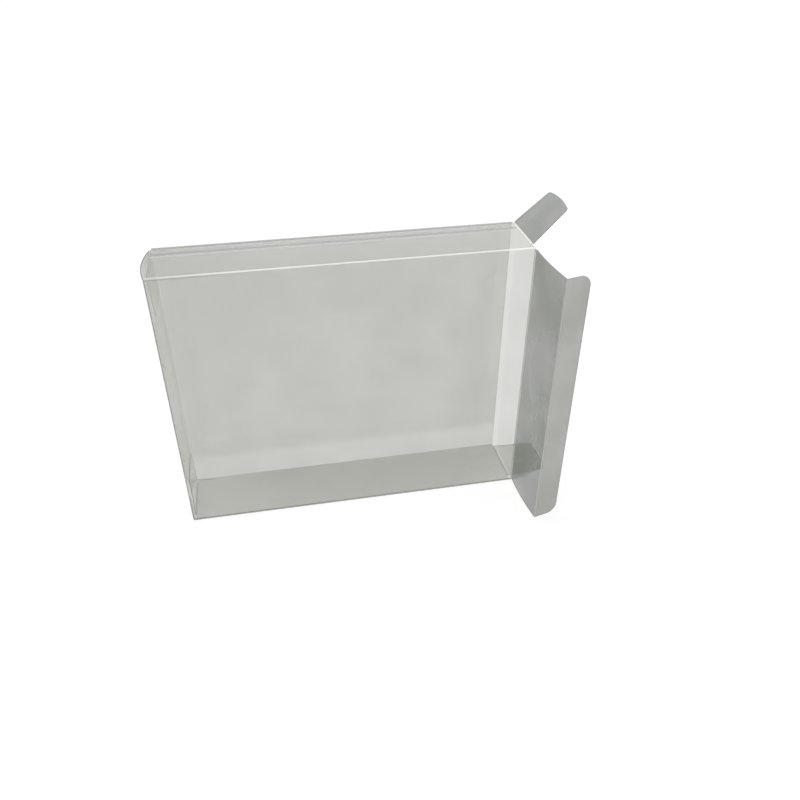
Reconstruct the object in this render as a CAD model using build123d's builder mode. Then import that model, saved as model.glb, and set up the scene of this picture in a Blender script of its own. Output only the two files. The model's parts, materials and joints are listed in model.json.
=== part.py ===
from build123d import *
from math import acos, atan2, degrees
import os

# Box protector: a clear tuck-end carton in one sheet of film, folded round and glued
# along its top. Its left end is shut. Its right end is the mouth, and stands open.
# X runs from the closed end to the mouth, Y from the front panel to the back panel and
# Z up. The origin is the middle of the base panel's underside. Lengths are millimetres.

length = 174.5  # between the two lid creases
depth = 34.0  # outside, front panel to back panel
height = 138.0  # outside, base panel to top panel

film = 0.4  # thickness of the clear film
bend_radius = 0.4  # of a folded crease, at the middle of the film
crease_gap = 0.15  # from a hinged crease's line to the film on each side of it
crease_web = 0.05  # film left on the outer face where a crease is scored

glue_width = 11.8  # of the flap glued under the top panel
glue_end_inset = 1.2  # from the end of the top panel to the glue flap
glue_end_slant = 1.5  # how much further in the glue flap's free edge ends
seam_setback = 0.2  # from the start of the back bend to the top panel's cut edge

lid_relief = 1.0  # by which a lid is lower than the panels, at its top and its bottom
lid_clearance = 0.4  # between a shut lid's tuck and the back panel
end_lid_bow = 2.3  # how far the closed end's lid bulges out
mouth_lid_bow = 0.8  # how far the mouth's lid bulges out
mouth_lid_open = 176.5  # degrees from shut, as it stands in use

tuck_depth = 13.0  # from the lid's far crease to the tuck's edge
tuck_corner = 5.5  # radius of the tuck's two free corners
swing_clearance = 0.1  # by which a tuck clears the back panel as its lid swings

dust_inset = 0.8  # from a lid's crease line in to the crease lines of the dust flaps
dust_length = 23.3  # crease to the crown of the curved edge
dust_crown = 1.3  # how far that edge's crown stands beyond its corners
dust_front_margin = 3.8  # from the front face to the flap, at its crease
dust_back_margin = 2.2  # from the back face to the flap, at its crease
dust_front_taper = 2.7  # narrowing of the front side, crease to corner
dust_back_taper = 1.6  # narrowing of the back side, crease to corner
dust_corner = 2.0  # radius of the flap's two corners
dust_open = 42.0  # degrees above level at which the upper flap stands

os.makedirs("parts", exist_ok=True)

half_film = film / 2
mitre = film - crease_web  # the inner face is cut back at 45 degrees beside a crease
bend_outer = bend_radius + half_film

front_face = -depth / 2
back_face = depth / 2
lid_crease = length / 2
dust_crease = lid_crease - dust_inset
mouth_panel_end = dust_crease - crease_gap
fold_panel_end = dust_crease - bend_outer
dust_front = front_face + dust_front_margin
dust_back = back_face - dust_back_margin

lid_depth = depth - film - lid_clearance
lid_height = height - 2 * lid_relief

# The tuck is folded past square, by as much as lets its edge pass the back panel.
tuck_swing = depth - film - swing_clearance
tuck_fold = degrees(acos((tuck_swing**2 - lid_depth**2 - tuck_depth**2) / (2 * lid_depth * tuck_depth)))


def mitre_section():
    """Cut beside a crease. X runs along the panel to its edge, Y out of its outer face."""
    with BuildSketch() as section:
        Polygon((0, -crease_web), (0, -film), (-mitre, -film), align=None)
    return section.sketch


def dust_outline(root):
    """Outline of a dust flap. X runs away from its crease, Y from front to back."""
    corner_reach = dust_length - dust_crown
    front_corner = (corner_reach, dust_front + dust_front_taper)
    back_corner = (corner_reach, dust_back - dust_back_taper)
    with BuildSketch() as outline:
        with BuildLine():
            Line((root, dust_back), (root, dust_front))
            Line((root, dust_front), front_corner)
            ThreePointArc(front_corner, (dust_length, (dust_front + dust_back) / 2), back_corner)
            Line(back_corner, (root, dust_back))
        make_face()
        fillet(outline.vertices().group_by(Axis.X)[-1], radius=dust_corner)
    return outline.sketch


def hinged_lid_plan():
    """Plan of the mouth's lid. X runs from its hinge to its tuck's crease, Y outwards."""
    far_end = lid_depth - crease_gap
    with BuildSketch() as plan:
        with BuildLine():
            ThreePointArc(
                (crease_gap, -half_film),
                (lid_depth / 2, mouth_lid_bow - half_film),
                (far_end, -half_film),
            )
        trace(line_width=film)
        chamfer(plan.vertices().group_by(Axis.Y)[0], length=mitre)
    return plan.sketch


def folded_lid_plan():
    """Plan of the closed end's lid and its tuck in one strip, in the same directions."""
    with BuildSketch() as plan:
        with BuildLine():
            panel = ThreePointArc(
                (crease_gap, -half_film),
                (lid_depth / 2, end_lid_bow - half_film),
                (lid_depth - bend_outer, -half_film),
            )
            arriving = panel % 1
            turn = tuck_fold + degrees(atan2(arriving.Y, arriving.X))
            bend = JernArc(panel @ 1, arriving, bend_radius, -turn)
            Line(bend @ 1, bend @ 1 + (bend % 1) * (tuck_depth - bend_outer))
        trace(line_width=film)
        chamfer(plan.vertices().sort_by_distance((crease_gap, -film))[0], length=mitre)
    return plan.sketch


# A dust flap folded down inside the closed end, with the bend that carries it.
with BuildPart() as folded_dust_flap:
    with BuildSketch(Plane(origin=(-dust_crease, 0, height), x_dir=(0, 0, -1), z_dir=(1, 0, 0))):
        add(dust_outline(bend_outer))
    extrude(amount=film)
    with BuildSketch(Plane.XZ.offset(-dust_back)):
        with BuildLine():
            FilletPolyline(
                (-fold_panel_end + film, height - half_film),
                (-dust_crease + half_film, height - half_film),
                (-dust_crease + half_film, height - bend_outer - film),
                radius=bend_radius,
            )
        trace(line_width=film)
    extrude(amount=dust_back - dust_front)

# The line of each scored crease in the sleeve: where its panel ends, and how long it is.
front_mouth_crease = Plane(
    origin=(lid_crease - crease_gap, front_face, height - lid_relief), x_dir=(1, 0, 0), z_dir=(0, 0, -1)
)
front_end_crease = Plane(
    origin=(crease_gap - lid_crease, front_face, lid_relief), x_dir=(-1, 0, 0), z_dir=(0, 0, 1)
)
top_dust_crease = Plane(origin=(mouth_panel_end, dust_back, height), x_dir=(1, 0, 0), z_dir=(0, -1, 0))
base_dust_crease = Plane(origin=(mouth_panel_end, dust_front, 0), x_dir=(1, 0, 0), z_dir=(0, 1, 0))

wrap_length = length - 2 * crease_gap
wrap_plane = Plane.YZ.offset(-wrap_length / 2)

with BuildPart() as sleeve:
    # the strip of film that is folded round, from the glue flap's free edge down the
    # back, along the base and up the front to the start of the top panel
    with BuildSketch(wrap_plane):
        with BuildLine():
            FilletPolyline(
                (back_face - glue_width, height - film - half_film),
                (back_face - half_film, height - film - half_film),
                (back_face - half_film, half_film),
                (front_face + half_film, half_film),
                (front_face + half_film, height - half_film),
                (front_face + bend_outer + film, height - half_film),
                radius=bend_radius,
            )
        trace(line_width=film)
    extrude(amount=wrap_length)
    # the top panel, glued down over the flap
    with BuildSketch(wrap_plane):
        with BuildLine():
            Line(
                (front_face + bend_outer, height - half_film),
                (back_face - bend_outer - seam_setback, height - half_film),
            )
        trace(line_width=film)
    extrude(amount=wrap_length)
    # only the front panel runs out to the lid creases
    with BuildSketch():
        with BuildLine():
            Polyline(
                (mouth_panel_end, front_face + bend_outer),
                (lid_crease, front_face + bend_outer),
                (lid_crease, back_face),
                (mouth_panel_end, back_face),
                close=True,
            )
        make_face()
        with BuildLine():
            Polyline(
                (-fold_panel_end, front_face + bend_outer),
                (-lid_crease, front_face + bend_outer),
                (-lid_crease, back_face),
                (-fold_panel_end, back_face),
                close=True,
            )
        make_face()
    extrude(amount=height, mode=Mode.SUBTRACT)
    # the glue flap stops short of both ends, at a slant
    with BuildSketch(Plane.XY.offset(height - 2 * film)):
        for side, panel_end in ((1, mouth_panel_end), (-1, fold_panel_end)):
            crease_end = panel_end - glue_end_inset
            with BuildLine():
                Polyline(
                    (side * crease_end, back_face - bend_outer),
                    (side * (crease_end - glue_end_slant), back_face - glue_width),
                    (side * lid_crease, back_face - glue_width),
                    (side * lid_crease, back_face - bend_outer),
                    close=True,
                )
            make_face()
    extrude(amount=film, mode=Mode.SUBTRACT)
    add(folded_dust_flap.part)
    mirror(folded_dust_flap.part, about=Plane.XY.offset(height / 2))
    for crease, crease_length in (
        (front_mouth_crease, lid_height),
        (front_end_crease, lid_height),
        (top_dust_crease, dust_back - dust_front),
        (base_dust_crease, dust_back - dust_front),
    ):
        # the cut runs on past both ends of the flap, so that the flap's corners clear it
        with BuildSketch(crease.offset(-crease_gap)):
            add(mitre_section())
        extrude(amount=crease_length + 2 * crease_gap, mode=Mode.SUBTRACT)
sleeve.part.label = "sleeve"

# The closed end's lid swings on the front panel's left edge, its tuck inside the back.
with BuildPart() as end_lid:
    with BuildSketch(Plane(origin=(-lid_crease, front_face, lid_relief), x_dir=(0, 1, 0), z_dir=(0, 0, 1))):
        add(folded_lid_plan())
    extrude(amount=lid_height)
    tuck_edge = end_lid.faces().sort_by(Axis.X)[-1]
    fillet(tuck_edge.edges().sort_by(SortBy.LENGTH)[:2], radius=tuck_corner)
end_lid.part.label = "end_lid"

# The mouth's lid swings on the front panel's right edge.
along_mouth_lid = Vector(0, 1, 0).rotate(Axis.Z, -mouth_lid_open)
mouth_lid_plane = Plane(
    origin=(lid_crease, front_face, height - lid_relief), x_dir=along_mouth_lid, z_dir=(0, 0, -1)
)
with BuildPart() as mouth_lid:
    with BuildSketch(mouth_lid_plane):
        add(hinged_lid_plan())
    extrude(amount=lid_height)
mouth_lid.part.label = "mouth_lid"

folded = mouth_lid_plane.rotated((0, 0, tuck_fold))
tuck_plane = Plane(
    origin=mouth_lid_plane.from_local_coords((lid_depth, 0, lid_height / 2)),
    x_dir=folded.x_dir,
    z_dir=folded.y_dir,
)
with BuildPart() as tuck_flap:
    with BuildSketch(tuck_plane) as tuck_outline:
        with Locations((crease_gap, 0)):
            Rectangle(tuck_depth - crease_gap, lid_height, align=(Align.MIN, Align.CENTER))
        fillet(tuck_outline.vertices().group_by(Axis.X)[-1], radius=tuck_corner)
    extrude(amount=-film)
    hinge_edge = tuck_plane.from_local_coords((crease_gap, 0, -film))
    chamfer(tuck_flap.edges().sort_by_distance(hinge_edge)[0], length=mitre)
tuck_flap.part.label = "tuck_flap"

upper_dust_plane = Plane((dust_crease, 0, height)).rotated((0, -dust_open, 0))
with BuildPart() as upper_dust_flap:
    with BuildSketch(upper_dust_plane):
        add(dust_outline(crease_gap))
    extrude(amount=-film)
    hinge_edge = upper_dust_plane.from_local_coords((crease_gap, 0, -film))
    chamfer(upper_dust_flap.edges().sort_by_distance(hinge_edge)[0], length=mitre)
upper_dust_flap.part.label = "upper_dust_flap"

# The lower dust flap lies flat, level with the base panel.
with BuildPart() as lower_dust_flap:
    with BuildSketch(Plane((dust_crease, 0, 0))):
        add(dust_outline(crease_gap))
    extrude(amount=film)
    chamfer(lower_dust_flap.edges().sort_by_distance((dust_crease + crease_gap, 0, film))[0], length=mitre)
lower_dust_flap.part.label = "lower_dust_flap"

print(f"tuck fold {tuck_fold:.2f} degrees, lid depth {lid_depth:.2f} mm, lid height {lid_height:.2f} mm")
for piece in (sleeve, end_lid, mouth_lid, tuck_flap, upper_dust_flap, lower_dust_flap):
    print(f"{piece.part.label}: {piece.part.volume:.1f} mm3")

export_step(sleeve.part, "parts/sleeve.step")
export_step(end_lid.part, "parts/end_lid.step")
export_step(mouth_lid.part, "parts/mouth_lid.step")
export_step(tuck_flap.part, "parts/tuck_flap.step")
export_step(upper_dust_flap.part, "parts/upper_dust_flap.step")
export_step(lower_dust_flap.part, "parts/lower_dust_flap.step")
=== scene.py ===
# %% [markdown]
# # A clear film box protector
#
# The object is a tuck-end carton die-cut from one sheet of clear PET film, creased,
# folded round and glued along its top. It stands on its long thin base. Its left end is
# shut, and at its right end the lid is folded right back, so that the film can be seen
# from its outside, its inside and its cut edge.
#
# The CAD model comes in first as a fixed frame: six pieces of film in metres, and the
# hinges that they swing on.
#
# The shape is already right in the CAD nodes, and film has no upholstery or texture to
# hide behind, so this script is mostly about finish: how much light the film lets
# through, what it mirrors, where folding has whitened it, and how its cut edges look.
# The one thing that is modelled here is the thin web of film left at each live crease.

# %% Load the fixed frame
import json
import math

import bmesh
import bpy
from mathutils import Matrix, Vector


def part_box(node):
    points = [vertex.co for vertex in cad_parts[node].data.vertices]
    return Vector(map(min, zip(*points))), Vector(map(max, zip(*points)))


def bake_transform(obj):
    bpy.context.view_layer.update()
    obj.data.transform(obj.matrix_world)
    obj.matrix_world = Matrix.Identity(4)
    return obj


MM = 0.001
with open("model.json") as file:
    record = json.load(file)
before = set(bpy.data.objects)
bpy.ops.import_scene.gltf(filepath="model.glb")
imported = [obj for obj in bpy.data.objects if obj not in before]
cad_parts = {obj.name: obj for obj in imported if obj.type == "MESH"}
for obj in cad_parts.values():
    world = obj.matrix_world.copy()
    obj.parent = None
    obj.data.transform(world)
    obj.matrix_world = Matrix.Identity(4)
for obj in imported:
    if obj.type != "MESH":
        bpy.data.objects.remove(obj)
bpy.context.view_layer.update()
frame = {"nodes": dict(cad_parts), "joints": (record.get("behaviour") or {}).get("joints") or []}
print("CAD nodes:", sorted(frame["nodes"]))

# %% [markdown]
# ## Small helpers
#
# Colours are written as the hex values a picture editor shows, which are sRGB. Shader
# nodes want linear values, so one function turns the one into the other. A second one
# adds a node, with its settings and its links, so that a material reads as a list.


# %% Colours and nodes
def linear(hex_colour):
    """The linear colour, with an alpha of 1, of an sRGB hex value."""
    channels = [int(hex_colour[i : i + 2], 16) / 255 for i in (1, 3, 5)]
    return [c / 12.92 if c <= 0.04045 else ((c + 0.055) / 1.055) ** 2.4 for c in channels] + [1.0]


def add_node(tree, kind, settings=None, **inputs):
    """A node of that kind. An input is a plain value, or another node's output. It goes by
    its name, or by i and its number where several inputs share a name."""
    node = tree.nodes.new(kind)
    for name, value in (settings or {}).items():
        setattr(node, name, value)
    for name, value in inputs.items():
        numbered = name[0] == "i" and name[1:].isdigit()
        socket = node.inputs[int(name[1:]) if numbered else name.replace("_", " ")]
        if isinstance(value, bpy.types.NodeSocket):
            tree.links.new(value, socket)
        else:
            socket.default_value = value
    return node


def empty_material(name):
    """A new material with nothing in its node tree but an output."""
    material = bpy.data.materials.new(name)
    material.use_nodes = True
    material.node_tree.nodes.clear()
    return material, material.node_tree, material.node_tree.nodes.new("ShaderNodeOutputMaterial")


print(f"half grey, #808080, is {linear('#808080')[0]:.3f} in linear light")

# %% [markdown]
# ## The camera
#
# The photograph looks down on the carton from its front left, through a fairly wide
# lens. A camera could be set by eye, but the carton's corners say more: the viewpoint
# and the lens are those from which they fall where the photograph has them. They sit a
# little low in the picture, so the lens is shifted by 3% of its width.

# %% Camera
camera = bpy.data.objects.new("camera", bpy.data.cameras.new("camera"))
bpy.context.scene.collection.objects.link(camera)
bpy.context.scene.camera = camera
camera.data.sensor_width = 36.0
camera.data.lens = 34.26
camera.data.shift_y = 0.03
camera.data.clip_start = 0.01
camera.location = (-0.0381, -0.3293, 0.2751)
aim = Vector((0.0275, 0.0033, 0.0326))
camera.rotation_euler = (aim - camera.location).to_track_quat("-Z", "Y").to_euler()
print(f"camera {(aim - camera.location).length / MM:.0f} mm from what it looks at")

# %% [markdown]
# ## Floor, sky and lamps
#
# Clear film shows only what is behind it and what it mirrors, so the surroundings are
# half of the material. The floor is plain and pale. To the camera, and in what the film
# mirrors, it is lifted to white, but the shadow of the carton stays on it. The world is
# an even white. A soft sky-wide light from above and one from the front left give the
# folds their light and dark sides. Area lamps would leave a bright pool round the
# carton. A sun lights the whole floor alike, so both are sun lamps made very wide.

# %% Floor and sky
WHITE = linear("#ffffff")
BOARD_COLOUR = linear("#e6e6e6")
WORLD_LIGHT = 0.62  # of the sky, on the film and on the floor
FLOOR_LIFT = 0.29  # glow that makes up what the lit board lacks to white
FLOOR_LENGTH = 12.0  # m
FLOOR_DROP = 0.05 * MM  # so that the floor and the carton's foot don't share a plane


def seen_directly(tree):
    """1 for rays of the camera, and for what gloss and glass show, otherwise 0."""
    path = add_node(tree, "ShaderNodeLightPath").outputs
    largest = {"operation": "MAXIMUM"}
    seen = add_node(tree, "ShaderNodeMath", largest, i0=path["Is Camera Ray"], i1=path["Is Glossy Ray"])
    return add_node(
        tree, "ShaderNodeMath", largest, i0=seen.outputs[0], i1=path["Is Transmission Ray"]
    ).outputs[0]


world = bpy.data.worlds.new("white_room")
bpy.context.scene.world = world
world.use_nodes = True
sky = world.node_tree
sky.nodes.clear()
lighting = add_node(sky, "ShaderNodeBackground", Color=WHITE, Strength=WORLD_LIGHT)
showing = add_node(sky, "ShaderNodeBackground", Color=WHITE, Strength=1.0)
chosen = add_node(
    sky, "ShaderNodeMixShader", i0=seen_directly(sky), i1=lighting.outputs[0], i2=showing.outputs[0]
)
add_node(sky, "ShaderNodeOutputWorld", Surface=chosen.outputs[0])

floor_mesh = bpy.data.meshes.new("floor")
shape = bmesh.new()
bmesh.ops.create_grid(shape, x_segments=1, y_segments=1, size=FLOOR_LENGTH / 2)
bmesh.ops.translate(shape, verts=shape.verts, vec=(0, 0, -FLOOR_DROP))
shape.to_mesh(floor_mesh)
shape.free()
floor = bpy.data.objects.new("floor", floor_mesh)
bpy.context.scene.collection.objects.link(floor)

floor_paint, tree, output = empty_material("matt_white_board")
board = add_node(tree, "ShaderNodeBsdfDiffuse", Color=BOARD_COLOUR)
lift = add_node(tree, "ShaderNodeMath", {"operation": "MULTIPLY"}, i0=seen_directly(tree), i1=FLOOR_LIFT)
glow = add_node(tree, "ShaderNodeEmission", Color=WHITE, Strength=lift.outputs[0])
both = add_node(tree, "ShaderNodeAddShader", i0=board.outputs[0], i1=glow.outputs[0])
tree.links.new(both.outputs[0], output.inputs["Surface"])
floor_mesh.materials.append(floor_paint)
print(f"floor {floor.dimensions.x:.0f} m wide")


# %% Lamps
def wide_sun(name, from_where, strength, spread):
    """A sun lamp that shines from that direction, as wide as a softbox of that angle."""
    lamp = bpy.data.objects.new(name, bpy.data.lights.new(name, "SUN"))
    bpy.context.scene.collection.objects.link(lamp)
    lamp.data.energy = strength
    lamp.data.angle = math.radians(spread)
    lamp.rotation_euler = Vector(from_where).to_track_quat("Z", "Y").to_euler()
    print(f"{name}: strength {strength}, {spread} degrees wide")


wide_sun("overhead_light", from_where=(-0.35, 0.10, 0.95), strength=0.75, spread=60)
wide_sun("front_light", from_where=(-0.55, -0.80, 0.45), strength=0.75, spread=50)

# %% [markdown]
# ## Masks
#
# A mask is a number from 0 to 1 that says where on a piece something shows, such as a
# whitened fold. It could be painted as a picture, but on a folded sheet every mark lies
# along a line or an edge, so it is worked out from Object coordinates and from the
# surface's own normal. Such a mark stays on its piece when the piece moves, and it is
# as sharp as it has to be. These functions make masks and put them together.


# %% Masks put together
def all_of(tree, mask, *others):
    """1 only where every mask is 1: the masks multiplied together."""
    for other in others:
        mask = add_node(tree, "ShaderNodeMath", {"operation": "MULTIPLY"}, i0=mask, i1=other).outputs[0]
    return mask


def any_of(tree, mask, *others):
    """1 where any of the masks is 1: the largest of them."""
    for other in others:
        mask = add_node(tree, "ShaderNodeMath", {"operation": "MAXIMUM"}, i0=mask, i1=other).outputs[0]
    return mask


def all_but(tree, mask):
    """1 where the mask is 0, and 0 where it is 1."""
    return add_node(tree, "ShaderNodeMath", {"operation": "SUBTRACT"}, i0=1.0, i1=mask).outputs[0]


# %% Masks by place, by direction and by chance
SMOOTH_STEP = {"interpolation_type": "SMOOTHSTEP"}


def beyond(tree, axis, start, full, least=0.0, most=1.0):
    """A mask that goes from least to most between two places along an axis, in mm."""
    where = add_node(tree, "ShaderNodeTexCoord").outputs["Object"]
    place = add_node(tree, "ShaderNodeSeparateXYZ", Vector=where).outputs[axis]
    return add_node(
        tree, "ShaderNodeMapRange", SMOOTH_STEP,
        Value=place, From_Min=start * MM, From_Max=full * MM, To_Min=least, To_Max=most,
    ).outputs[0]


def strip(tree, axis, low, high, soft):
    """1 between two places along an axis, fading to 0 over a soft distance outside them."""
    past_low = beyond(tree, axis, low - soft, low)
    return all_of(tree, past_low, beyond(tree, axis, high, high + soft, 1.0, 0.0))


def near_line(tree, axis_a, line_a, axis_b, line_b, reach):
    """1 close to a line that crosses the plane of two axes at one point, otherwise 0."""
    core, soft = 0.6 * reach, 0.4 * reach
    return all_of(
        tree,
        strip(tree, axis_a, line_a - core, line_a + core, soft),
        strip(tree, axis_b, line_b - core, line_b + core, soft),
    )


def looking_along(tree, direction, low, high):
    """1 where the surface looks along a direction or against it. low and high are the
    cosines at which the mask starts and is full."""
    normal = add_node(tree, "ShaderNodeTexCoord").outputs["Normal"]
    along = add_node(tree, "ShaderNodeVectorMath", {"operation": "DOT_PRODUCT"}, i0=normal, i1=direction)
    size = add_node(tree, "ShaderNodeMath", {"operation": "ABSOLUTE"}, i0=along.outputs["Value"])
    return add_node(
        tree, "ShaderNodeMapRange", SMOOTH_STEP, Value=size.outputs[0], From_Min=low, From_Max=high
    ).outputs[0]


def cloudy(tree, size, detail, least, most, squeeze=(1.0, 1.0, 1.0)):
    """A value that drifts from least to most, in clouds of that size in mm. squeeze says
    how many times narrower they are along X, Y and Z."""
    where = add_node(tree, "ShaderNodeTexCoord").outputs["Object"]
    placed = add_node(tree, "ShaderNodeMapping", Vector=where, Scale=squeeze).outputs[0]
    drift = add_node(
        tree, "ShaderNodeTexNoise", Vector=placed, Scale=1 / (size * MM), Detail=detail
    ).outputs[0]
    return add_node(
        tree, "ShaderNodeMapRange", SMOOTH_STEP,
        Value=drift, From_Min=0.3, From_Max=0.7, To_Min=least, To_Max=most,
    ).outputs[0]


# %% [markdown]
# ## The film
#
# PET film of 0.4 mm is extruded and polished: smooth, glossy on both faces, with an
# index of refraction of 1.57. It could be made of glass, with transmission, but a film
# this thin doesn't bend what is seen through it, and glass would cost many more
# samples. So the film is a surface with an alpha, under a mirror that follows Fresnel's
# law.
#
# The alpha is the share of the light that the film stops. A slanting ray goes a longer
# way through it and loses more. It bends as it goes in, so its way is at most 1.3 times
# as long. Only the face that a ray meets from outside stops light, and the film's other
# face is fully open, so that one film counts once. Rays that only light something are
# mostly let by, because clear film throws only a faint shadow.
#
# PET on its own stops about a tenth. A real film also shows the greys of whatever
# stands round it, and here all is white, so each film stops about a third and has a
# warm grey in its place: its own slight haziness, and painted shade for those greys.
#
# Folding breaks the film's clarity: a scored line turns white, and where it catches the
# overhead light it is also painted with a highlight; it is painted grey where it lies in
# the shade. A die-cut edge is rougher than the faces and bends away the light that meets
# it, so it shows as a thin dark line, partly painted shade.
# Handling leaves a slight cloudiness.

# %% Film values
PET_INDEX = 1.57
CLEAR_SHARE = 0.659  # of the light that passes one film of the sleeve, head on
# warm grey of what a film stops: its own haziness, and painted shade of the room round it
PANEL_HAZE_AND_SHADE = "#6f7059"
# stress whitening of a fold, and a painted highlight where it catches the overhead light
CREASE_WHITE_AND_HIGHLIGHT = "#f4f4ee"
# cut edges: a rough cut, and painted shade for the light it bends away; on the sleeve also the grey of
# folds in painted shade
FLAP_CUT = "#2c2d2b"
SLEEVE_CUT = "#6e6f6b"
CUT_STOPS = 0.85  # of the light that meets a cut edge
FOLD_STOPS = 0.54  # of the light that meets a whitened fold
LET_BY = 0.85  # of what the film stops, for rays that only light something
CLOUD_SIZE = 35.7  # mm, of the patches where hands have left the film a little cloudy
WAVE_LENGTH = 45.5  # mm, of the faces, which are never quite flat
WAVE_DEPTH = 0.1  # mm


# %% Light that the film stops
def stopped_light(tree, clear_share):
    """The share of the light that one film stops, as its ray slants, a bit cloudy."""
    share = add_node(tree, "ShaderNodeLayerWeight", Blend=0.5).outputs["Facing"]
    for operation, number in (  # each step takes a number and the step before it
        ("SUBTRACT", {"i0": 1.0}),  # the cosine of the ray's slant outside the film
        ("POWER", {"i1": 2.0}),
        ("SUBTRACT", {"i0": 1.0}),  # the sine, squared
        ("DIVIDE", {"i1": PET_INDEX**2}),  # the same inside the film, where the ray has bent
        ("SUBTRACT", {"i0": 1.0}),  # the cosine inside, squared
        ("INVERSE_SQRT", {"i1": 0.0}),  # how many times as long the slanting way is
        ("POWER", {"i0": clear_share}),  # the share that passes
        ("SUBTRACT", {"i0": 1.0}),
    ):
        inputs = {"i0": share, "i1": share, **number}
        share = add_node(tree, "ShaderNodeMath", {"operation": operation}, **inputs).outputs[0]
    return all_of(tree, share, cloudy(tree, CLOUD_SIZE, 3.0, 0.93, 1.07))


# %% Film finish
def film_finish(
    name, clear_share, haze_and_shade, edges, cut=FLAP_CUT, folds=None, marks_and_shade=None, clearer=None, dull=None,
    gloss=1.0,
):
    """Clear PET film. edges, folds, clearer and dull give masks of where it is cut or painted
    grey as in shade, where it is whitened by a fold and painted with a highlight, where it
    stops less light and where it has no mirror. The rows of marks, real ones and painted
    shade, give the share that each stops, its colour and its mask."""
    material, tree, output = empty_material(name)
    stopped = stopped_light(tree, clear_share)
    if clearer:
        stopped = all_of(tree, stopped, all_but(tree, clearer(tree)))
    edge = edges(tree)
    rough = edge
    layers = list(marks_and_shade(tree)) if marks_and_shade else []
    layers.append((CUT_STOPS, cut, edge))
    if folds:
        fold = folds(tree)
        touched = add_node(tree, "ShaderNodeMath", {"operation": "GREATER_THAN"}, i0=fold, i1=0.01)
        rough = any_of(tree, rough, touched.outputs[0])
        layers.append((FOLD_STOPS, CREASE_WHITE_AND_HIGHLIGHT, fold))
    colour = linear(haze_and_shade)
    for share, shade, mask in layers:
        colour = add_node(
            tree, "ShaderNodeMix", {"data_type": "RGBA"}, i0=mask, i6=colour, i7=linear(shade)
        ).outputs[2]
        stopped = any_of(tree, stopped, all_of(tree, mask, share))
    path = add_node(tree, "ShaderNodeLightPath").outputs
    lights_only = any_of(tree, path["Is Shadow Ray"], path["Is Diffuse Ray"])
    stopped = all_of(tree, stopped, all_but(tree, all_of(tree, lights_only, LET_BY)))
    # polished faces, gently wavy
    where = add_node(tree, "ShaderNodeTexCoord").outputs["Object"]
    wave = add_node(
        tree, "ShaderNodeTexNoise", Vector=where, Scale=1 / (WAVE_LENGTH * MM), Detail=1.0
    ).outputs[0]
    bump = add_node(tree, "ShaderNodeBump", Strength=1.0, Distance=WAVE_DEPTH * MM, Height=wave).outputs[0]
    front = all_but(tree, add_node(tree, "ShaderNodeNewGeometry").outputs["Backfacing"])
    body = add_node(
        tree, "ShaderNodeBsdfPrincipled", Base_Color=colour, Roughness=0.35, IOR=PET_INDEX,
        Alpha=all_of(tree, stopped, any_of(tree, front, edge)), Normal=bump,
    )
    mirror = add_node(tree, "ShaderNodeFresnel", IOR=PET_INDEX, Normal=bump).outputs[0]
    mirror = all_of(tree, mirror, front, all_but(tree, rough))
    if dull:
        mirror = all_of(tree, mirror, all_but(tree, dull(tree)))
    if gloss < 1.0:
        mirror = all_of(tree, mirror, gloss)
    polish = add_node(tree, "ShaderNodeBsdfGlossy", Color=WHITE, Roughness=0.06, Normal=bump)
    surface = add_node(tree, "ShaderNodeMixShader", i0=mirror, i1=body.outputs[0], i2=polish.outputs[0])
    tree.links.new(surface.outputs[0], output.inputs["Surface"])
    print(f"{name}: {clear_share:.0%} passes, {len(layers)} kinds of mark, {len(tree.nodes)} nodes")
    return material


# %% [markdown]
# ## The sleeve
#
# The sleeve is the four panels, folded round and glued. Its long fold at the top of the
# front is whitened and also painted with a highlight where it catches the overhead light,
# more so towards the mouth. A line of painted shade lies under its left part, and its
# other folds are painted grey as folds in shade. The mouth ends are cut. Along the back of
# the top panel a flap 11.8 mm wide is glued under it. The glue shows as streaky lines
# along the seam, with a bright line at the flap's edge, and it hides the flap itself,
# because it fills the air gap that would mirror. The base is painted darker than the
# front, a painted shadow where it stands on the floor, and the top is painted darker too,
# painted shade where it would mirror the white room too brightly. The foot of the front
# at the shut end has painted shade, and the foot of the back is painted lighter, a
# painted reflection of the white floor.

# %% Folds and cut edges of the sleeve
lowest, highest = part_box("sleeve")
FRONT, BACK, TOP = lowest.y / MM, highest.y / MM, highest.z / MM
END_FOLD = -86.45  # X of the line where the panels are folded in at the shut end
GLUE_WIDTH = 11.8
GLUE_EDGE = BACK - GLUE_WIDTH
print(f"sleeve panels: front at {FRONT:.1f}, back at {BACK:.1f}, top at {TOP:.1f} mm")


def folded_in(tree):
    """1 on the dust flaps folded into the shut end, which stand across the panels."""
    return all_of(
        tree,
        beyond(tree, "X", END_FOLD + 0.35, END_FOLD + 0.45, 1.0, 0.0),
        strip(tree, "Z", 1.0, TOP - 1.0, 0.2),
        strip(tree, "Y", FRONT + 1.0, BACK - 1.0, 0.2),
    )


def sleeve_folds(tree):
    """The whitened folds, also painted with a highlight where they catch the overhead light:
    the long one at the top of the front, brighter towards the mouth, and a trace of the one
    at the shut end of the top panel."""
    front_top = near_line(tree, "Y", FRONT, "Z", TOP, 0.68)
    to_the_mouth = beyond(tree, "X", -80.0, -25.0, 0.8, 1.25)
    end_top = near_line(tree, "X", END_FOLD, "Z", TOP, 0.75)
    return any_of(tree, all_of(tree, front_top, to_the_mouth), all_of(tree, end_top, 0.3))


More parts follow.
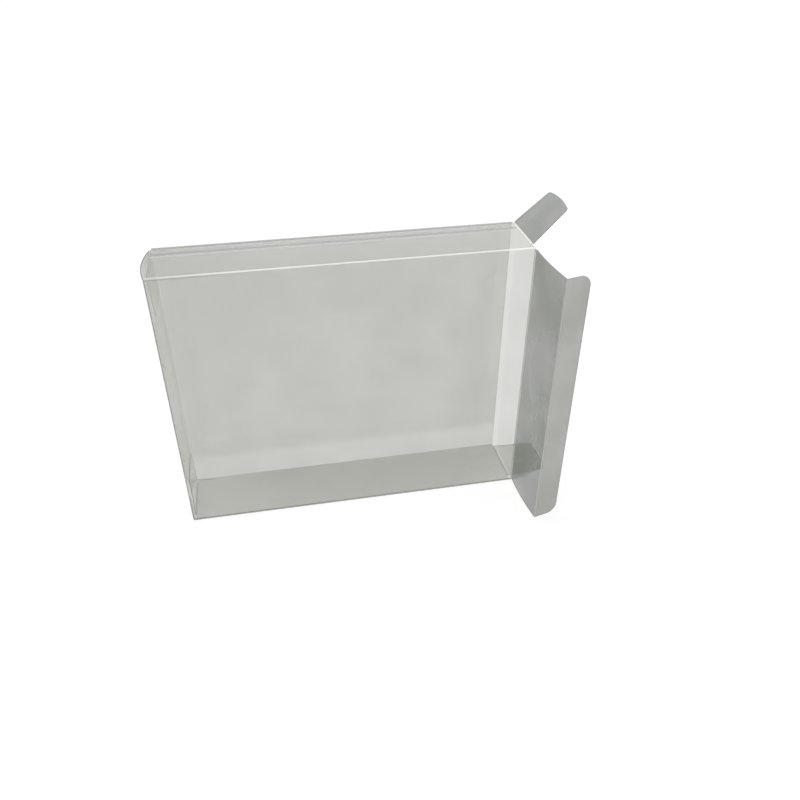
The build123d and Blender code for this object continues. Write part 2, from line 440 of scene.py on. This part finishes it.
def sleeve_edges(tree):
    """The cut ends at the mouth, the cut sides of the folded dust flaps, which show less
    higher up, and the folds at the foot of the front, the back of the top and the foot of
    the shut end, painted as grey as a cut: painted shade."""
    mouth = all_of(tree, looking_along(tree, (1, 0, 0), 0.5, 0.8), beyond(tree, "X", 0.0, 10.0))
    across = all_but(tree, looking_along(tree, (1, 0, 0), 0.3, 0.6))
    flap_sides = all_of(tree, folded_in(tree), across, beyond(tree, "Z", 40.0, 80.0, 1.0, 0.4))
    front_foot = all_of(tree, near_line(tree, "Y", FRONT, "Z", 0.0, 1.6), 0.69)
    back_top = all_of(tree, near_line(tree, "Y", BACK, "Z", TOP - 0.4, 1.0), 0.85)
    end_foot = all_of(tree, near_line(tree, "X", END_FOLD, "Z", 0.0, 1.0), 0.6)
    return any_of(tree, mouth, front_foot, back_top, end_foot, flap_sides)


# %% Painted shade, glue and clear places of the sleeve
def sleeve_glue_and_shade(tree):
    """Painted shadow under the base, painted shade on the top, under the left part of the
    front fold and at the foot of the front by the shut end, and streaky glue along the seam.
    """
    on_top = beyond(tree, "Z", TOP - 0.3, TOP - 0.1)
    on_top = all_of(tree, on_top, beyond(tree, "X", -80.0, -25.0, 1.0, 0.89))
    on_base = all_of(
        tree,
        beyond(tree, "Z", 0.5, 0.7, 1.0, 0.0),
        beyond(tree, "Y", FRONT, BACK, 0.81, 1.0),
        beyond(tree, "X", -85.0, -35.0, 0.78, 1.0),
    )
    in_front = beyond(tree, "Y", FRONT + 0.45, FRONT + 0.5, 1.0, 0.0)
    under_fold = strip(tree, "Z", TOP - 1.3, TOP - 0.9, 0.2)
    left_half = beyond(tree, "X", -60.0, -40.0, 1.0, 0.0)
    left_end = beyond(tree, "X", -86.1, -85.7, 1.0, 0.0)
    foot = beyond(tree, "Z", 12.0, 24.0, 1.0, 0.0)
    uneven = cloudy(tree, 40.0, 2.0, 0.7, 1.0, squeeze=(1.0, 12.0, 1.0))
    pale_glue = strip(tree, "Y", 11.6, 13.8, 1.0)
    dark_glue = strip(tree, "Y", 7.4, 8.8, 1.2)
    glue_edge = strip(tree, "Y", GLUE_EDGE - 0.2, GLUE_EDGE + 0.2, 0.5)
    return (
        # painted shadow where the base stands on the floor, stronger towards the back and the mouth
        (0.60, "#6c6d5c", on_base),
        # painted shade on the top panel, a little less towards the mouth
        (0.575, "#64654f", on_top),
        # a line of painted shade under the left part of the front fold
        (0.52, "#55564a", all_of(tree, in_front, under_fold, left_half)),
        (0.50, "#868780", all_of(tree, on_top, pale_glue, uneven)),
        (0.80, "#64656a", all_of(tree, on_top, dark_glue)),
        (0.50, "#b4b4ae", all_of(tree, on_top, glue_edge, uneven)),
        # painted shade at the foot of the front, by the shut end
        (0.70, "#74756a", all_of(tree, in_front, left_end, foot)),
    )


def sleeve_clearer(tree):
    """Where the sleeve stops less light: on the glue flap, on the dust flaps folded in and
    at the foot of the back, which is painted lighter, a painted reflection of the white
    floor. Its upper part stops a little more, so it is a little darker."""
    under_top = strip(tree, "Z", TOP - 0.85, TOP - 0.35, 0.05)
    glued = all_of(tree, under_top, strip(tree, "Y", GLUE_EDGE - 0.1, BACK - 0.7, 0.1), 0.9)
    in_back = beyond(tree, "Y", BACK - 0.6, BACK - 0.5)
    # painted light where the floor's shadow shows through, as if the back mirrored the white floor
    back_foot = all_of(tree, in_back, beyond(tree, "Z", 11.0, 20.0, 0.33, 0.0))
    clear = any_of(tree, glued, back_foot, all_of(tree, folded_in(tree), 0.6))
    # darker towards the top, more so towards the shut end
    darker_up_high = all_of(tree, beyond(tree, "X", -70.0, -25.0, 0.075, 0.035), beyond(tree, "Z", 88.0, 116.0))
    return add_node(tree, "ShaderNodeMath", {"operation": "SUBTRACT"}, i0=clear, i1=darker_up_high).outputs[0]


sleeve_film = film_finish(
    "clear_pet_film_folded", CLEAR_SHARE, PANEL_HAZE_AND_SHADE, sleeve_edges,
    cut=SLEEVE_CUT, folds=sleeve_folds, marks_and_shade=sleeve_glue_and_shade, clearer=sleeve_clearer,
)

# %% [markdown]
# ## The lid of the shut end
#
# It bulges out, with its tuck inside the sleeve. Seen from the front its film lies
# behind the sleeve's, where it hardly shows, but along its top it stands alone against
# the floor, painted darker at the rim, with a dark cut edge. It could have the plain
# finish of the other flaps, but then its bulge would stand out as a bright crescent of
# mirrored light, so the rim and the fold of its tuck are painted grey: painted shade.

# %% Lid of the shut end
END_LID_CLEAR_SHARE = 0.645


def outside_sleeve(tree):
    """The part of the lid that bulges out beyond the panels."""
    return beyond(tree, "X", -87.5, -87.2, 1.0, 0.0)


def inside_sleeve(tree):
    """The part of the lid, and its tuck, that has the panels' film in front of it."""
    return all_but(tree, outside_sleeve(tree))


def end_lid_edges(tree):
    """Its cut edges, with a hair's breadth of crushed film beside the upper one."""
    cut = looking_along(tree, (0, 0, 1), 0.6, 0.8)
    crushed = beyond(tree, "Z", TOP - 1.7, TOP - 1.4, 0.0, 0.7)
    return any_of(tree, cut, all_of(tree, crushed, outside_sleeve(tree)))


def end_lid_painted_shade(tree):
    """The fold of its tuck and its rim, painted grey: painted shade over what their curves would mirror.
    """
    fold = all_of(
        tree, beyond(tree, "Y", BACK - 2.4, BACK - 1.6), beyond(tree, "X", -85.9, -85.6, 1.0, 0.0)
    )
    rim = all_of(tree, beyond(tree, "Z", 128.0, 131.0), beyond(tree, "X", -87.0, -86.7, 1.0, 0.0))
    return ((0.415, PANEL_HAZE_AND_SHADE, fold), (0.60, PANEL_HAZE_AND_SHADE, rim))


def end_lid_clearer(tree):
    """The tuck, which lies against the back panel, and the lid's face below its rim."""
    tuck = beyond(tree, "X", -85.9, -85.6, 0.0, 0.97)
    below_rim = all_of(
        tree,
        strip(tree, "Z", 110.0, 126.0, 6.0),
        strip(tree, "Y", FRONT + 4.0, BACK - 4.0, 2.0),
        outside_sleeve(tree),
    )
    return any_of(tree, tuck, all_of(tree, below_rim, 0.25))


end_lid_film = film_finish(
    "clear_pet_film_end_lid", END_LID_CLEAR_SHARE, PANEL_HAZE_AND_SHADE, end_lid_edges,
    marks_and_shade=end_lid_painted_shade, clearer=end_lid_clearer, dull=inside_sleeve,
)

# %% [markdown]
# ## The open lid and its flaps
#
# They are the same film, but they stand at other slants and show darker surroundings
# through them, so they look much greyer than the panels. A darker room would show that
# too, but it would darken the panels with them, so the flaps have their own clearness
# and a darker colour: painted shade.
# Each has its own cut edges: those faces that don't lie in its sheet. The open lid's
# mirror is halved, because what it mirrors of the sleeve stands out on its bulge.

# %% Flap finishes
# less clear and darker than the panels: painted shade of the darker surroundings, with the film's own
# haziness
FLAP_CLEAR_SHARE = 0.285
MOUTH_LID_CLEAR_SHARE = 0.31
MOUTH_LID_GLOSS = 0.5
FLAP_HAZE_AND_SHADE = "#2f3822"
TUCK_HAZE_AND_SHADE = "#6a6b60"

LID_OPEN = math.radians(176.5)  # how far the mouth's lid is turned from shut
TUCK_OPEN = LID_OPEN - math.radians(99.94)  # the same less the tuck's own fold
DUST_FLAP_LIFT = math.radians(42.0)  # of the upper dust flap, above level


def top_and_bottom(tree):
    """The cut edges of a lid, which stands upright: the faces that look up and down."""
    return looking_along(tree, (0, 0, 1), 0.6, 0.8)


def off_sheet(sheet_normal):
    """The cut edges of a flat flap: the faces that don't look as its sheet does."""
    return lambda tree: all_but(tree, looking_along(tree, sheet_normal, 0.3, 0.6))


tuck_normal = (math.cos(TUCK_OPEN), -math.sin(TUCK_OPEN), 0)
upper_flap_normal = (-math.sin(DUST_FLAP_LIFT), 0, math.cos(DUST_FLAP_LIFT))
mouth_lid_film = film_finish(
    "clear_pet_film_mouth_lid", MOUTH_LID_CLEAR_SHARE, FLAP_HAZE_AND_SHADE, top_and_bottom, gloss=MOUTH_LID_GLOSS
)
tuck_film = film_finish("clear_pet_film_tuck", FLAP_CLEAR_SHARE, TUCK_HAZE_AND_SHADE, off_sheet(tuck_normal))
upper_flap_film = film_finish(
    "clear_pet_film_upper_flap", FLAP_CLEAR_SHARE, FLAP_HAZE_AND_SHADE, off_sheet(upper_flap_normal)
)
lower_flap_film = film_finish(
    "clear_pet_film_lower_flap", CLEAR_SHARE, PANEL_HAZE_AND_SHADE, off_sheet((0, 0, 1))
)

# %% Each piece in its film
finishes = {
    "sleeve": sleeve_film,
    "end_lid": end_lid_film,
    "mouth_lid": mouth_lid_film,
    "tuck_flap": tuck_film,
    "upper_dust_flap": upper_flap_film,
    "lower_dust_flap": lower_flap_film,
}
for node_name, finish in finishes.items():
    mesh = frame["nodes"][node_name].data
    mesh.materials.clear()
    mesh.materials.append(finish)
    low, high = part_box(node_name)
    print(f"{node_name}: {finish.name}, {[round(x / MM, 1) for x in high - low]} mm")

# %% [markdown]
# ## Live creases
#
# Where a lid or a flap swings, the film isn't cut through: a web about 0.07 mm thick is
# left on its outer face, and bending has turned it white. The web of the upper dust flap
# is also painted with a highlight where it catches the overhead light, and the one at the
# shut end is painted grey, as in shade. In the frame each hinge has a narrow gap there,
# and a web is laid across it as the lids and flaps stand here. A pale line on the panel's
# edge would look right at rest, but it would leave the gap open.

# %% Crease finishes
SPECKLE_SIZE = 1.11  # mm, ten times a real speckle's, which would be too fine to show


def crease_finish(name, colour, least, most):
    """Film thinned and clouded by a score line, which stops from least to most of the light."""
    material, tree, output = empty_material(name)
    web = add_node(
        tree, "ShaderNodeBsdfPrincipled", Base_Color=linear(colour), Roughness=0.45, IOR=PET_INDEX,
        Alpha=cloudy(tree, SPECKLE_SIZE, 2.0, least, most),
    )
    tree.links.new(web.outputs[0], output.inputs["Surface"])
    print(f"{name}: stops {least:.0%} to {most:.0%} of the light")
    return material


# three copies of the scored film: whitened, with a painted highlight where it catches the overhead light;
# plain; and grey, in painted shade
lit_whitened_crease = crease_finish("stress_whitened_pet_in_light", CREASE_WHITE_AND_HIGHLIGHT, 0.75, 0.95)
plain_crease = crease_finish("scored_pet", "#c6c7c0", 0.45, 0.5)
shaded_crease = crease_finish("scored_pet_in_shade", "#8a8b86", 0.4, 0.6)

# %% Crease webs
WEB_REACH = 0.36 * MM  # from the crease's line out along each side
WIDE_WEB_REACH = 0.6 * MM
WEB_BLEND = 0.12 * MM  # from the line, where the bend ends
WEB_THICKNESS = 0.07 * MM


def crease_web(name, finish, bodies, start, end, sides, faces, reach=WEB_REACH):
    """A strip along a crease from start to end. sides are the directions of the panel
    and of the flap away from the crease, and faces those that their outer faces look."""
    start, end = Vector(start), Vector(end)
    panel_side, flap_side = [Vector(side) for side in sides]
    panel_face, flap_face = [Vector(face) * WEB_THICKNESS / 2 for face in faces]
    fold_face = (panel_face + flap_face).normalized() * WEB_THICKNESS / 2
    profile = (
        panel_side * reach + panel_face,
        panel_side * WEB_BLEND + panel_face,
        fold_face,
        flap_side * WEB_BLEND + flap_face,
        flap_side * reach + flap_face,
    )
    sheet = bmesh.new()
    verts = [sheet.verts.new(start + point) for point in profile]
    line = [sheet.edges.new(pair) for pair in zip(verts, verts[1:])]
    grown = bmesh.ops.extrude_edge_only(sheet, edges=line)["geom"]
    moved = [item for item in grown if isinstance(item, bmesh.types.BMVert)]
    bmesh.ops.translate(sheet, verts=moved, vec=end - start)
    bmesh.ops.solidify(sheet, geom=sheet.faces[:], thickness=WEB_THICKNESS)
    bmesh.ops.recalc_face_normals(sheet, faces=sheet.faces[:])
    mesh = bpy.data.meshes.new(name)
    sheet.to_mesh(mesh)
    sheet.free()
    mesh.materials.append(finish)
    web = bpy.data.objects.new(name, mesh)
    bpy.context.scene.collection.objects.link(web)
    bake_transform(web)
    print(f"{name}: {len(mesh.polygons)} faces, {(end - start).length / MM:.1f} mm long")


# %% Creases of the lids
LID_RELIEF = 1.0 * MM  # by which a lid is lower than the panels, at its top and bottom
END_LID_SLOPE = math.radians(15.8)  # of the shut lid's bulge at its crease

hinge = {joint["name"]: Vector(joint["pos_m"]) for joint in frame["joints"]}
lid_along = Matrix.Rotation(-LID_OPEN, 3, "Z") @ Vector((0, 1, 0))
tuck_along = Matrix.Rotation(-TUCK_OPEN, 3, "Z") @ Vector((0, 1, 0))
lid_face = (lid_along.y, -lid_along.x, 0)


def up_the_lid(hinge_name):
    """The lowest and the highest point of an upright crease."""
    place = hinge[hinge_name]
    return (place.x, place.y, LID_RELIEF), (place.x, place.y, TOP * MM - LID_RELIEF)


crease_web(
    "mouth_crease", plain_crease, ("sleeve", "mouth_lid"), *up_the_lid("mouth_lid_crease"),
    sides=((-1, 0, 0), lid_along), faces=((0, -1, 0), lid_face),
)
crease_web(
    "end_crease", shaded_crease, ("sleeve", "end_lid"), *up_the_lid("end_lid_crease"),
    sides=((1, 0, 0), (-math.sin(END_LID_SLOPE), math.cos(END_LID_SLOPE), 0)),
    faces=((0, -1, 0), (-math.cos(END_LID_SLOPE), -math.sin(END_LID_SLOPE), 0)),
)
crease_web(
    "tuck_crease_line", plain_crease, ("mouth_lid", "tuck_flap"), *up_the_lid("tuck_crease"),
    sides=(-lid_along, tuck_along), faces=(lid_face, (tuck_along.y, -tuck_along.x, 0)),
)

# %% Creases of the dust flaps
flap_front, flap_back = [corner.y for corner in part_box("upper_dust_flap")]
upper_x, lower_x = hinge["upper_dust_crease"].x, hinge["lower_dust_crease"].x

crease_web(
    "upper_flap_crease", lit_whitened_crease, ("sleeve", "upper_dust_flap"),
    (upper_x, flap_front, TOP * MM), (upper_x, flap_back, TOP * MM),
    sides=((-1, 0, 0), (math.cos(DUST_FLAP_LIFT), 0, math.sin(DUST_FLAP_LIFT))),
    faces=((0, 0, 1), upper_flap_normal), reach=WIDE_WEB_REACH,
)
crease_web(
    "lower_flap_crease", plain_crease, ("sleeve", "lower_dust_flap"),
    (lower_x, flap_front, 0.0), (lower_x, flap_back, 0.0),
    sides=((-1, 0, 0), (1, 0, 0)), faces=((0, 0, -1), (0, 0, -1)),
)

# %% [markdown]
# ## Colour management and transparent bounces
#
# The Standard view shows each colour as it is written. A ray may cross many films, each
# with two faces, before it reaches the floor, so it is allowed more of them than
# Blender's default.

# %% Finish
FILM_FACES = 32

scene = bpy.context.scene
scene.view_settings.view_transform = "Standard"
scene.cycles.transparent_max_bounces = FILM_FACES
